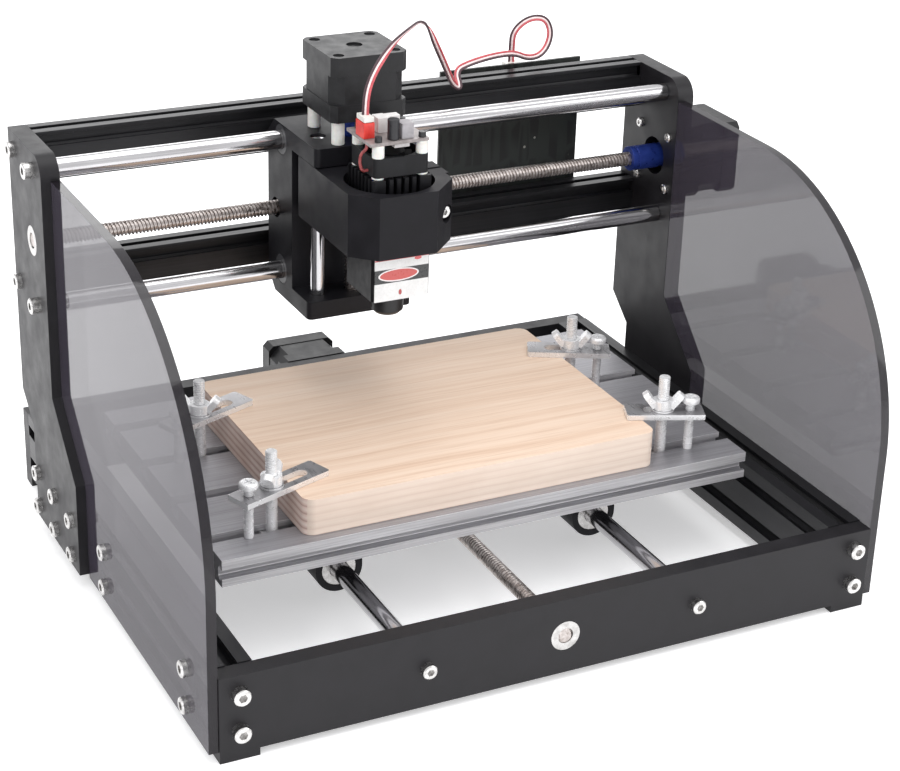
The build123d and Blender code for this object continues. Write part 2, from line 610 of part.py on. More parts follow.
def driver_parts():
    """Lead socket, capacitor, inductor, connector, a part below the board, and four screw heads."""
    socket = block(socket_x, socket_x + 6, socket_y, socket_y + 10, board_top, board_top + 8)
    socket -= block(socket_x + 1, socket_x + 5, socket_y + 1, socket_y + 9, board_top + 1.5, board_top + 8)
    capacitor = bar("Z", LASER_X - 3.2, TOOL_Y - 10.5, board_top, 10.5, 3)
    inductor = block(LASER_X + 0.5, LASER_X + 7, TOOL_Y - 13, TOOL_Y - 5, board_top, board_top + 8)
    connector = block(LASER_X - 6.7, LASER_X - 0.7, TOOL_Y, TOOL_Y + 8, board_top, board_top + 7.8)
    connector += block(LASER_X - 0.7, LASER_X + 6.3, TOOL_Y + 2, TOOL_Y + 7, board_top + 4, board_top + 7.8)
    below = block(LASER_X - 4, LASER_X + 4.3, TOOL_Y - 14, TOOL_Y - 8, PCB_BOTTOM - 2, PCB_BOTTOM)
    heads = [bar("Z", LASER_X + a, TOOL_Y + b, board_top, 2.8, 1.9) for a, b in posts()]
    return [socket, capacitor, inductor, connector, below, *heads]


def laser_plug():
    """Plug in the socket, with a collar above it."""
    body = block(socket_x + 1.1, socket_x + 4.9, socket_y + 1.1, socket_y + 8.9,
                 board_top + 1.6, board_top + 9)
    return body + block(socket_x + 0.3, socket_x + 5.7, socket_y + 0.3, socket_y + 9.7,
                        board_top + 8.3, board_top + 11)


add("laser_heatsink", laser_heatsink())
add("laser_faceplate", faceplate())
add("lens_barrel", lens_barrel())
add("fan_housing", fan_housing())
add("fan_rotor", fan_rotor())
add("nylon_posts", *[nylon_post(a, b) for a, b in posts()])
add("driver_board", driver_board())
add("driver_parts", *driver_parts())
add("laser_plug", laser_plug())


# ---- bed ---------------------------------------------------------------------------------
def bed_table():
    """Aluminium table with four T-slots across the top and one along each long edge."""
    depth, height = BED_BACK - BED_FRONT, BED_TOP - BED_BOTTOM
    face = Rectangle(depth, height)
    slot = slot_face(SLOT_MOUTH, SLOT_WIDE, SLOT_LIP, SLOT_DEPTH, straight=0.85)
    for y in SLOTS:
        face -= Pos(y - BED_MIDDLE, height / 2) * slot
    edge_slot = slot_face(5.0, 8.0, 1.8, 5.0)
    for side in (-1, 1):
        face -= Pos(side * depth / 2, -0.5) * Rot(0, 0, -90 * side) * edge_slot
    plane = Plane.YZ.offset(-BED_X)
    return extrude(plane * Pos(BED_MIDDLE, (BED_TOP + BED_BOTTOM) / 2) * face, 2 * BED_X)


def bed_bearings():
    """Four housings on the Y rods, each with its linear bearing."""
    found = []
    mirror_front = 2 * BED_MIDDLE - BLOCK_FRONT - BLOCK_LENGTH
    for x in (-Y_ROD_X, Y_ROD_X):
        for y in (BLOCK_FRONT, mirror_front):
            housing = bar("Y", x, y, Y_AXIS_Z, BLOCK_LENGTH, BLOCK_RADIUS)
            housing += block(x - BLOCK_RADIUS, x + BLOCK_RADIUS, y, y + BLOCK_LENGTH, Y_AXIS_Z, BED_BOTTOM)
            housing += block(x - 20, x + 20, y, y + BLOCK_LENGTH, BED_BOTTOM - 6, BED_BOTTOM)
            found.append(housing - bar("Y", x, y, Y_AXIS_Z, BLOCK_LENGTH, 9.5))
            found.append(ring("Y", x, y + 0.5, Y_AXIS_Z, BLOCK_LENGTH - 1, 9.5, ROD + RUNNING))
    return found


def y_nut_block():
    """Nut holder under the middle of the bed, and the nut in it."""
    low, high = BED_MIDDLE - 14, BED_MIDDLE + 14
    holder = block(-15, 15, low, high, 12, BED_BOTTOM) - bar("Y", 0, low, Y_AXIS_Z, high - low, 5.2)
    nut = bar("Y", 0, low, Y_AXIS_Z, 14, 5.2) + bar("Y", 0, low - 3.5, Y_AXIS_Z, 3.5, 11)
    return holder, nut - bar("Y", 0, low - 4, Y_AXIS_Z, 20, SCREW + RUNNING)


def workpiece():
    """Plain timber board lying on the bed."""
    width, depth, height = BOARD_SIZE
    x, y = BOARD_CENTRE
    board = block(x - width / 2, x + width / 2, y - depth / 2, y + depth / 2, BED_TOP, BED_TOP + height)
    return fillet(board.edges().filter_by(Axis.Z), BOARD_CORNER)


add("bed_table", bed_table())
add("bed_bearings", *bed_bearings())
add("y_nut_block", *y_nut_block())
add("workpiece_board", workpiece())


# ---- hold-down clamps --------------------------------------------------------------------
def hold_down(x, y, turn, tip):
    """Slotted strap, T-bolt with washer, and support screw; the strap's tip lies on the board."""
    width, thick = STRAP
    low = BED_TOP + BOARD_SIZE[2] + STRAP_GAP
    strap = block(-STRAP_TAIL, tip, -width / 2, width / 2, low, low + thick)
    tip_edges = strap.faces().sort_by(Axis.X)[-1].edges().filter_by(Axis.Z)
    strap = chamfer(tip_edges, 1)
    slot_start, slot_end = -3.5, tip - 9.5
    slot = Pos((slot_start + slot_end) / 2, 0) * SlotOverall(slot_end - slot_start, 6.6)
    strap -= extrude(Plane.XY.offset(low) * slot, thick)
    strap -= bar("Z", -SUPPORT_REACH, 0, low, thick, 2.55)
    head_low = BED_TOP - SLOT_LIP - 0.5 - BOLT_HEAD[2]
    head = Pos(0, 0, head_low) * Box(*BOLT_HEAD, align=(Align.CENTER, Align.CENTER, Align.MIN))
    bolt = Rot(0, 0, -turn) * head + bar("Z", 0, 0, head_low, STUD_TOP - head_low, STUD)
    washer = ring("Z", 0, 0, low + thick, 1, 6.2, STUD + 0.1)
    support_top = low + thick + 4.4
    screw = bar("Z", -SUPPORT_REACH, 0, BED_TOP + STRAP_GAP, support_top - BED_TOP, 2.5)
    cap = bar("Z", -SUPPORT_REACH, 0, support_top, 3.2, 4.8)
    cap = fillet(cap.edges().sort_by(Axis.Z)[-1], 1.6)
    for angle in (0, 90):
        cap -= Pos(-SUPPORT_REACH, 0, support_top + 2.4) * Rot(0, 0, angle) * Box(5.4, 1.2, 1.8)
    return [Location((x, y, 0), (0, 0, turn)) * piece for piece in (strap, bolt, washer, screw + cap)]


def wing_nut(x, y, turn):
    """Wing nut on the T-bolt, its wings leaning outwards."""
    low = BED_TOP + BOARD_SIZE[2] + STRAP_GAP + STRAP[1] + 1 + STRAP_GAP
    nut = bar("Z", 0, 0, low, 5, 5.4)
    for side in (-1, 1):
        wing = Box(3.2, 6.5, 9.5, align=(Align.CENTER, Align.CENTER, Align.MIN))
        wing = fillet(wing.edges().filter_by(Axis.X).sort_by(Axis.Z)[-2:], 2.8)
        nut += Pos(side * 4.2, 0, low + 1.2) * Rot(0, side * 38, 0) * wing
    nut -= bar("Z", 0, 0, low - 1, 30, STUD + RUNNING)
    return Location((x, y, 0), (0, 0, turn)) * nut


# name, place of the bolt, turn of the strap, reach of its tip, turn of the wing nut
stations = [
    ("front_left", -115.0, SLOTS[0], 20, 32.5, 53), ("back_left", -119.0, SLOTS[2], 22, 32, 153),
    ("front_right", 109.3, SLOTS[0], 158, 20, 153), ("back_right", 103.5, SLOTS[2], 154, 24.5, 153),
]
for place_name, x, y, turn, tip, nut_turn in stations:
    add("clamp_" + place_name, *hold_down(x, y, turn, tip))
    add("wing_nut_" + place_name, wing_nut(x, y, nut_turn))


# ---- control board -----------------------------------------------------------------------
def control_board():
    """Main board behind the gantry beams, parts facing backwards."""
    board = block(*BOARD_X, BOARD_Y, BOARD_Y + PCB, *BOARD_Z)
    for x in (BOARD_X[0] + 6, BOARD_X[1] - 6):
        for z in BEAM_Z:
            board -= bar("Y", x, BOARD_Y, z, PCB, 1.6)
    return board


def board_parts():
    """Driver heat sinks, terminal blocks, capacitors and the supply socket."""
    back = BOARD_Y + PCB
    found = []
    for x in (68, 88, 108):
        sink = block(x, x + 12, back, back + 9, 172, 184)
        for n in range(4):
            sink -= block(x + 1.4 + 2.8 * n, x + 2.8 + 2.8 * n, back + 3, back + 9, 172, 184)
        found.append(sink)
    for z in (138, 152):
        found.append(block(72, 104, back, back + 8, z, z + 7))
    found.append(bar("Y", 128, back, 186, 16, 5))
    found.append(bar("Y", 140, back, 186, 16, 5))
    supply = block(122, 136, back, back + 12, 136, 148) - bar("Y", 129, back + 2, 142, 10, 4.2)
    found.append(supply)
    return found


standoffs = [
    bar("Y", x, SIDE_BACK, z, BOARD_Y - SIDE_BACK, 3)
    + bar("Y", x, BOARD_Y, z, PCB + 2.4, 1.55)
    for x in (BOARD_X[0] + 6, BOARD_X[1] - 6) for z in BEAM_Z]
add("control_board", control_board())
add("board_parts", *board_parts())
add("board_standoffs", *standoffs)
button_x, button_z = 112.0, 160.0
board_back = BOARD_Y + PCB
case = block(button_x - 4.5, button_x + 4.5, board_back, board_back + 8, button_z - 4.5, button_z + 4.5)
case -= block(button_x - 2.7, button_x + 2.7, board_back + 2, board_back + 8,
              button_z - 2.7, button_z + 2.7)
nodes["board_parts"].append(case)
add("power_button", block(
    button_x - 2.5, button_x + 2.5, board_back + 5, board_back + 12, button_z - 2.5, button_z + 2.5))


# ---- leads -------------------------------------------------------------------------------
CORD = 1.8                   # radius of the laser lead's tube; the flat lead is 3.6 wide
FAN_CORD = 0.8               # radius of the fan's two-core lead
plug_top = (socket_x + 3, socket_y + 5, board_top + 11)
seam = (0.0, 186.0, 281.6)
board_plug_top = (107.0, BOARD_Y + PCB + 3.0, 226.0)
tool_route = [
    plug_top, (plug_top[0], plug_top[1], 257.5), (-36.5, 157.0, 266.5), (-27.5, 163.0, 274.5),
    (-14.5, 173.5, 280.2), seam]
along = (Vector(*seam) - Vector(*tool_route[-2])).normalized()
frame_route = [
    seam, tuple(Vector(*seam) + along * 9.0), (16.0, 200.5, 274.0),
    (22.5, 206.5, 264.5), (30.0, 213.5, 254.0), (37.5, 221.0, 243.5), (45.0, 229.0, 233.5),
    (54.5, 238.0, 227.0), (55.2, 247.0, 235.3), (65.9, 250.0, 237.4), (76.7, 252.6, 238.4),
    (88.2, 257.0, 238.0), (99.8, 261.0, 236.6), (110.5, 266.0, 231.2), (120.5, 270.0, 230.4),
    (127.4, 273.0, 234.8), (130.3, 275.0, 242.6), (127.1, 277.0, 250.4), (116.9, 278.6, 250.6),
    (107.8, 279.2, 243.6), (board_plug_top[0], board_plug_top[1], 234.5), board_plug_top]
fan_route = [
    (-43.2, 147.0, PCB_BOTTOM), (-43.2, 147.0, 233.6), (-45.6, 149.0, 230.0), (-45.8, 149.5, 225.6),
    (-44.9, 148.5, 221.6), (LASER_X - FAN / 2, 148.5, 221.6)]


def lead(name, route, radius):
    """Tube of straight runs joined by tangent arcs, each as large as its runs allow."""
    points = [Vector(*p) for p in route]
    radii = []
    for before, here, after in zip(points, points[1:], points[2:]):
        shorter = min((here - before).length, (after - here).length)
        half_turn = math.radians((here - before).get_angle(after - here)) / 2
        radii.append(0.45 * shorter / math.tan(half_turn))
    path = FilletPolyline(*points, radius=radii)
    start = Plane(origin=path @ 0, z_dir=path % 0)
    tube = sweep(start * Circle(radius), path=path)
    print(name, "arc radii", [round(r, 1) for r in radii], "length", round(path.length, 1))
    print(name, "volume", round(tube.volume, 1), "expected", round(path.length * math.pi * radius ** 2, 1))
    return tube


add("laser_lead_tool", lead("laser_lead_tool", tool_route, CORD))
add("laser_lead_frame", lead("laser_lead_frame", frame_route, CORD))
add("fan_lead", lead("fan_lead", fan_route, FAN_CORD))
px, py, pz = board_plug_top
add("board_plug", block(px - 4.5, px + 4.5, BOARD_Y + PCB, BOARD_Y + PCB + 6, pz - 11, pz))


# ---- output ------------------------------------------------------------------------------
def place(shape):
    """Machine coordinates to the finished frame."""
    return Pos(-CENTRE[0], -CENTRE[1], 0) * shape


os.makedirs("parts", exist_ok=True)
for name, pieces in nodes.items():
    placed = [place(solid) for piece in pieces for solid in piece.solids()]
    export_step(placed[0] if len(placed) == 1 else Compound(children=placed), f"parts/{name}.step")
print(len(nodes), "nodes; machine centre at", CENTRE)
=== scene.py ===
import json
import math

import bmesh
import bpy
from mathutils import Matrix, Vector

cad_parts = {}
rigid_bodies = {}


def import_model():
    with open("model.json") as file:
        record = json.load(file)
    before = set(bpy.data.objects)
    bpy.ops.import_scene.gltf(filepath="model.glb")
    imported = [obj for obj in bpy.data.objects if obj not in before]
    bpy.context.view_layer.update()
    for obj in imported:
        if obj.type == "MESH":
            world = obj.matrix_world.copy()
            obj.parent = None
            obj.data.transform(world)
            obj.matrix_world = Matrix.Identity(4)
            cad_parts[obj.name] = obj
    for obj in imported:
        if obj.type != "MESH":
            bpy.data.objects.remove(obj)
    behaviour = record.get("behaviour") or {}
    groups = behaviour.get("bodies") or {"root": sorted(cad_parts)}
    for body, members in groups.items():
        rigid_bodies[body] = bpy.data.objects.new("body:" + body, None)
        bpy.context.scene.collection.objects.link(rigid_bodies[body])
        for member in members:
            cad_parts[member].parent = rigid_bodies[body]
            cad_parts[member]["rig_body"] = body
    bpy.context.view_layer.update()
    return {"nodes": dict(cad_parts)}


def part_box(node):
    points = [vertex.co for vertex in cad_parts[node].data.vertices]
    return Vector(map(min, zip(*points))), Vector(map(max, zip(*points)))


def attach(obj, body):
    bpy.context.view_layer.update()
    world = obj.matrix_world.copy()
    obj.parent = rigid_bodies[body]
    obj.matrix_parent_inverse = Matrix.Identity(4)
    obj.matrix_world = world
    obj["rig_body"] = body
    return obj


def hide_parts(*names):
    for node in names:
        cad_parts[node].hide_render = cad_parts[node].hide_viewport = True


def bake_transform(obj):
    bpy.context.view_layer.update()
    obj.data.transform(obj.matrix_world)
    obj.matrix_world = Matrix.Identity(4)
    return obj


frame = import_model()
scene = bpy.context.scene
scene.view_settings.view_transform = "Standard"
MM = 0.001
METRE = 1000      # in mm

# ---- camera ------------------------------------------------------------------------------
CAMERA_AT = (-0.48126, -0.94991, 0.57730)
CAMERA_YAW, CAMERA_PITCH, CAMERA_ROLL = 27.14, -25.06, 1.89


def make_camera():
    data = bpy.data.cameras.new("camera")
    data.sensor_width = 36
    data.lens = 86.5
    data.shift_x, data.shift_y = -0.0023, 0.0099
    data.clip_start, data.clip_end = 0.02, 30
    camera = bpy.data.objects.new("camera", data)
    scene.collection.objects.link(camera)
    yaw, pitch, roll = (math.radians(a) for a in (CAMERA_YAW, CAMERA_PITCH, CAMERA_ROLL))
    turn = (Matrix.Rotation(-yaw, 4, "Z") @ Matrix.Rotation(math.pi / 2 + pitch, 4, "X")
            @ Matrix.Rotation(roll, 4, "Z"))
    camera.matrix_world = Matrix.Translation(CAMERA_AT) @ turn
    scene.camera = camera


make_camera()


# ---- material kit ------------------------------------------------------------------------
class Paint:
    """One material: a Principled shader and short calls for the nodes that feed it."""

    def __init__(self, name, color, rough, metallic=0.0, **sockets):
        self.material = bpy.data.materials.new(name)
        self.material.use_nodes = True
        self.tree = self.material.node_tree
        self.shader = self.tree.nodes["Principled BSDF"]
        self.put("Base Color", color)
        self.put("Roughness", rough)
        self.put("Metallic", metallic)
        for socket, value in sockets.items():
            self.put(socket.replace("_", " "), value)
        self.where = None

    def put(self, socket, value):
        """Gives a shader socket a number, a colour or another node's output."""
        target = self.shader.inputs[socket]
        if isinstance(value, bpy.types.NodeSocket):
            self.tree.links.new(value, target)
        elif isinstance(value, tuple):
            target.default_value = (*value, 1.0)
        else:
            target.default_value = value

    def node(self, kind, inputs=(), **settings):
        made = self.tree.nodes.new(kind)
        for key, value in settings.items():
            setattr(made, key, value)
        for key, value in dict(inputs).items():
            if isinstance(value, bpy.types.NodeSocket):
                self.tree.links.new(value, made.inputs[key])
            else:
                made.inputs[key].default_value = value
        return made

    def coords(self, scale=(1, 1, 1)):
        if self.where is None:
            self.where = self.node("ShaderNodeTexCoord").outputs["Object"]
        return self.node("ShaderNodeMapping", {"Vector": self.where, "Scale": scale}).outputs[0]

    def axis(self, letter, scale=1.0, shift=0.0):
        """One coordinate of the row frame, in metres, times scale, plus shift."""
        parts = self.node("ShaderNodeSeparateXYZ", {0: self.coords()})
        return self.math("MULTIPLY_ADD", parts.outputs[letter], scale, shift)

    def math(self, operation, a, b=0.0, c=0.0):
        made = self.node("ShaderNodeMath", {0: a, 1: b, 2: c}, operation=operation)
        return made.outputs[0]

    def noise(self, scale, stretch=(1, 1, 1), detail=3.0):
        return self.node("ShaderNodeTexNoise", {
            "Vector": self.coords(stretch), "Scale": scale, "Detail": detail,
            "Roughness": 0.55}).outputs["Fac"]

    def cells(self, scale, stretch=(1, 1, 1), feature="F1", randomness=1.0):
        return self.node("ShaderNodeTexVoronoi", {
            "Vector": self.coords(stretch), "Scale": scale, "Randomness": randomness},
            feature=feature).outputs["Distance"]

    def ramp(self, fac, *stops):
        made = self.node("ShaderNodeValToRGB", {"Fac": fac})
        while len(made.color_ramp.elements) < len(stops):
            made.color_ramp.elements.new(1.0)
        for element, (position, color) in zip(made.color_ramp.elements, stops):
            element.position = position
            element.color = (*color, 1.0)
        return made.outputs[0]

    def span(self, fac, low, high, from_low=0.3, from_high=0.7):
        """Stretches a texture's middle range onto low to high."""
        return self.node("ShaderNodeMapRange", {
            "Value": fac, "From Min": from_low, "From Max": from_high,
            "To Min": low, "To Max": high}).outputs[0]

    def mix(self, fac, a, b, blend="MIX"):
        made = self.node("ShaderNodeMix", data_type="RGBA", blend_type=blend)
        for index, value in ((0, fac), (6, a), (7, b)):
            if isinstance(value, bpy.types.NodeSocket):
                self.tree.links.new(value, made.inputs[index])
            elif isinstance(value, tuple):
                made.inputs[index].default_value = (*value, 1.0)
            else:
                made.inputs[index].default_value = value
        return made.outputs[2]

    def bump(self, height, strength, distance):
        made = self.node("ShaderNodeBump", {
            "Height": height, "Strength": strength, "Distance": distance})
        self.tree.links.new(made.outputs[0], self.shader.inputs["Normal"])

    def facing(self, letter):
        """1 where the surface faces along an axis, 0 elsewhere."""
        normal = self.node("ShaderNodeNewGeometry").outputs["Normal"]
        parts = self.node("ShaderNodeSeparateXYZ", {0: normal})
        return self.math("GREATER_THAN", self.math("ABSOLUTE", parts.outputs[letter]), 0.7)


def mottled(name, dark, light, rough, metallic=0.0, scale=60, grain=0.0, size=1800, **sockets):
    """Two close tones in soft patches, roughness that varies with them, and an optional grain."""
    paint = Paint(name, dark, rough[0], metallic, **sockets)
    patches = paint.noise(scale, detail=5)
    paint.put("Base Color", paint.ramp(patches, (0.35, dark), (0.7, light)))
    paint.put("Roughness", paint.span(patches, *rough))
    if grain:
        paint.bump(paint.noise(size, detail=2), grain, 0.0002)
    return paint


def streaked(name, dark, light, rough, along, scale, bump, metallic=1.0, **sockets):
    """Metal with fine drawn or ground lines along one axis."""
    paint = Paint(name, dark, rough[0], metallic, **sockets)
    stretch = [1.0, 1.0, 1.0]
    stretch["XYZ".index(along)] = 0.012
    lines = paint.noise(scale, tuple(stretch), detail=4)
    broad = paint.noise(25, detail=3)
    both = paint.math("MULTIPLY_ADD", broad, 0.5, paint.math("MULTIPLY", lines, 0.5))
    paint.put("Base Color", paint.ramp(both, (0.36, dark), (0.64, light)))
    paint.put("Roughness", paint.span(lines, *rough))
    paint.bump(lines, bump, 0.0001)
    return paint


# ---- materials ---------------------------------------------------------------------------
def plate_black():
    paint = mottled("plate black", (0.0095, 0.0088, 0.0105), (0.0140, 0.0130, 0.0155), (0.36, 0.50),
                    scale=90, grain=0.12, size=2600, Specular_IOR_Level=0.30)
    return paint.material


def profile_black(along):
    paint = streaked(f"profile black {along}", (0.010, 0.010, 0.0115), (0.022, 0.022, 0.025),
                     (0.28, 0.42), along, metallic=0.35, scale=1200, bump=0.10, Specular_IOR_Level=0.4)
    return paint.material


def smoked_acrylic():
    """Clear smoke on the two faces, near black where the polished edge shows the sheet's depth."""
    paint = Paint("smoked acrylic", (0.06, 0.055, 0.062), 0.06, Specular_IOR_Level=0.35)
    haze = paint.noise(14, detail=4)
    face = paint.facing("X")
    tint = paint.ramp(haze, (0.3, (0.044, 0.038, 0.052)), (0.7, (0.058, 0.050, 0.068)))
    paint.put("Base Color", paint.mix(face, (0.010, 0.008, 0.011), tint))
    paint.put("Alpha", paint.math("MULTIPLY_ADD", face, -0.25, 0.94))
    paint.put("Roughness", paint.span(paint.noise(500, detail=2), 0.035, 0.075))
    return paint.material


def chrome(along):
    paint = streaked(f"ground rod {along}", (0.50, 0.49, 0.50), (0.66, 0.655, 0.67), (0.10, 0.19),
                     along, scale=1600, bump=0.02)
    return paint.material


def screw_steel():
    paint = mottled("lead screw steel", (0.36, 0.315, 0.295), (0.70, 0.655, 0.635), (0.24, 0.42),
                    metallic=1.0, scale=420, grain=0.06)
    return paint.material


def bright_steel(name="bright steel", dark=(0.50, 0.49, 0.48), light=(0.82, 0.81, 0.80)):
    paint = mottled(name, dark, light, (0.18, 0.34), metallic=1.0, scale=350, grain=0.05)
    return paint.material


def zinc(name, dark, light, rim, metallic, rough):
    """Plating with soft scuffs and small changes of gloss; every face that doesn't face up or down takes
    the brighter tone rim, a painted highlight against the flat faces.
    """
    paint = Paint(name, dark, rough[0], metallic)
    scuffs = paint.noise(260, (1, 0.3, 1), detail=2)
    stains = paint.noise(80, detail=2)
    both = paint.math("MULTIPLY_ADD", stains, 0.6, paint.math("MULTIPLY", scuffs, 0.4))
    flat = paint.ramp(both, (0.34, dark), (0.66, light))
    # painted highlight: faces that don't face up or down get tone rim, the flat ones the darker scuffed
    # tones
    paint.put("Base Color", paint.mix(paint.facing("Z"), rim, flat))
    paint.put("Roughness", paint.span(scuffs, *rough))
    paint.bump(scuffs, 0.02, 0.0001)
    return paint.material


def blue_anodised():
    paint = streaked("blue anodised", (0.012, 0.030, 0.20), (0.024, 0.055, 0.31), (0.26, 0.38), "Y",
                     metallic=0.5, scale=300, bump=0.03)
    return paint.material


def motor_paint():
    """Satin paint with a fine grain."""
    paint = mottled("motor black", (0.010, 0.010, 0.011), (0.019, 0.019, 0.021), (0.34, 0.50),
                    scale=160, grain=0.16, size=1500, Specular_IOR_Level=0.32)
    return paint.material


def moulding(name="moulded black", dark=(0.0070, 0.0067, 0.0085), light=(0.0115, 0.0110, 0.0140)):
    paint = mottled(name, dark, light, (0.44, 0.58), scale=70, grain=0.22, size=2400,
                    Specular_IOR_Level=0.2)
    return paint.material


def nylon():
    paint = mottled("white nylon", (0.70, 0.69, 0.65), (0.84, 0.84, 0.81), (0.34, 0.46),
                    scale=240, grain=0.05, Subsurface_Weight=0.15, Subsurface_Scale=0.002)
    return paint.material


def turned_brass():
    paint = mottled("turned brass", (0.52, 0.36, 0.13), (0.74, 0.56, 0.24), (0.22, 0.36), 1.0, scale=300)
    return paint.material


def laser_label(low_z, middle_x):
    """Printed panel: white, a dark band with a red oval in a white ring, a red line and two dots.

    Sizes here are in mm, from the panel's bottom edge and its middle.
    """
    paint = Paint("printed panel", (0.85, 0.85, 0.85), 0.28, Coat_Weight=0.4)
    z = paint.axis("Z", METRE, -METRE * low_z)
    x = paint.axis("X", METRE, -METRE * middle_x)

    def oval(cx, cz, half_x, half_z):
        u = paint.math("DIVIDE", paint.math("SUBTRACT", x, cx), half_x)
        v = paint.math("DIVIDE", paint.math("SUBTRACT", z, cz), half_z)
        return paint.math("LESS_THAN", paint.math("ADD", paint.math("MULTIPLY", u, u),
                                                  paint.math("MULTIPLY", v, v)), 1.0)

    def band(low, high):
        above, below = paint.math("GREATER_THAN", z, low), paint.math("LESS_THAN", z, high)
        return paint.math("MULTIPLY", above, below)

    white = paint.ramp(paint.noise(300), (0.3, (0.76, 0.76, 0.755)), (0.7, (0.84, 0.84, 0.835)))
    color = paint.mix(band(9.7, 17.2), white, (0.020, 0.022, 0.023))
    color = paint.mix(oval(-1.7, 13.7, 11.3, 3.5), color, (0.86, 0.80, 0.80))
    color = paint.mix(oval(-1.7, 13.7, 10.4, 2.8), color, (0.58, 0.085, 0.075))
    color = paint.mix(oval(-0.7, 4.0, 0.9, 1.5), color, (0.42, 0.06, 0.06))
    color = paint.mix(oval(9.0, 21.3, 2.0, 0.9), color, (0.72, 0.12, 0.12))
    color = paint.mix(band(22.0, 22.7), color, (0.55, 0.05, 0.06))
    paint.put("Base Color", color)
    paint.put("Roughness", paint.span(paint.noise(900), 0.24, 0.36))
    return paint.material


def board_mask(name, base, trace):
    """Dark solder mask with faint traces and a few bright pads."""
    paint = Paint(name, base, 0.32, Specular_IOR_Level=0.35)
    lanes = paint.cells(160, (1, 1, 0.25), "DISTANCE_TO_EDGE", 0.35)
    dots = paint.cells(95, (1, 1, 1), "F1", 1.0)
    tone = paint.ramp(lanes, (0.04, trace), (0.10, base))
    pads = paint.math("LESS_THAN", dots, 0.075)
    paint.put("Base Color", paint.mix(pads, tone, (0.42, 0.42, 0.38)))
    paint.put("Metallic", pads)
    paint.put("Roughness", paint.span(paint.noise(120), 0.30, 0.46))
    paint.bump(lanes, 0.06, 0.0001)
    return paint.material


def plain(name, dark, light, rough=(0.35, 0.5), metallic=0.0, **sockets):
    return mottled(name, dark, light, rough, metallic, scale=260, grain=0.06, **sockets).material


def bed_aluminium():
    """Drawn along X; the faces across the machine catch more light than the top."""
    paint = Paint("bed aluminium", (0.36, 0.355, 0.375), 0.43, 0.55)
    lines = paint.noise(1500, (0.012, 1, 1), detail=4)
    top = paint.ramp(lines, (0.36, (0.30, 0.295, 0.315)), (0.64, (0.42, 0.415, 0.44)))
    rim = paint.ramp(lines, (0.36, (0.62, 0.61, 0.63)), (0.64, (0.80, 0.79, 0.81)))
    paint.put("Base Color", paint.mix(paint.facing("Y"), top, rim))
    paint.put("Roughness", paint.span(lines, 0.36, 0.50))
    paint.bump(lines, 0.06, 0.0001)
    return paint.material


LAYER = 0.0041                # thickness of one glued layer of the timber board
BOARD_BOTTOM = 0.0617


def timber():
    """Sanded softwood: long grain on top, glued layers on the edges."""
    paint = Paint("timber", (0.8, 0.62, 0.48), 0.55, Specular_IOR_Level=0.3)
    wander = paint.noise(9, (0.5, 1, 1), detail=2)
    shifted = paint.math("MULTIPLY_ADD", wander, 0.022, paint.axis("Y"))
    bands = paint.node("ShaderNodeTexNoise", {
        "Vector": paint.node("ShaderNodeCombineXYZ", {
            0: paint.axis("X", 1.6), 1: paint.math("MULTIPLY", shifted, 190),
            2: paint.axis("Z", 30)}).outputs[0],
        "Scale": 1.0, "Detail": 5.0, "Roughness": 0.66}).outputs["Fac"]
    fibre = paint.noise(1400, (0.02, 1, 1), detail=3)
    top = paint.ramp(bands, (0.30, (0.700, 0.500, 0.370)), (0.46, (0.770, 0.590, 0.460)),
                     (0.60, (0.800, 0.635, 0.510)), (0.78, (0.820, 0.675, 0.560)))
    pores = paint.ramp(fibre, (0.32, (0.90, 0.86, 0.83)), (0.50, (1, 1, 1)))
    top = paint.mix(1.0, top, pores, "MULTIPLY")
    layer = paint.math("MULTIPLY_ADD", paint.noise(24, (1, 1, 0.1)), 0.30,
                       paint.axis("Z", 1 / LAYER, -BOARD_BOTTOM / LAYER))
    depth = paint.math("FRACT", layer)
    edge = paint.ramp(depth, (0.0, (0.58, 0.38, 0.31)), (0.14, (0.78, 0.58, 0.50)),
                      (0.5, (0.97, 0.82, 0.74)), (0.86, (0.88, 0.69, 0.61)), (1.0, (0.62, 0.42, 0.35)))
    patchy = paint.ramp(paint.noise(38, (1, 1, 2.5)), (0.35, (0.84, 0.79, 0.76)), (0.60, (1, 1, 1)))
    edge = paint.mix(1.0, edge, patchy, "MULTIPLY")
    pale = paint.mix(0.55, top, (0.97, 0.86, 0.76))
    front = paint.mix(0.22, pale, edge)
    sides = paint.mix(paint.facing("Y"), edge, front)
    paint.put("Base Color", paint.mix(paint.facing("Z"), sides, top))
    paint.put("Roughness", paint.span(fibre, 0.50, 0.66))
    paint.bump(fibre, 0.16, 0.00018)
    return paint.material


def insulation(name, dark, light):
    return mottled(name, dark, light, (0.34, 0.46), scale=500, grain=0.04).material


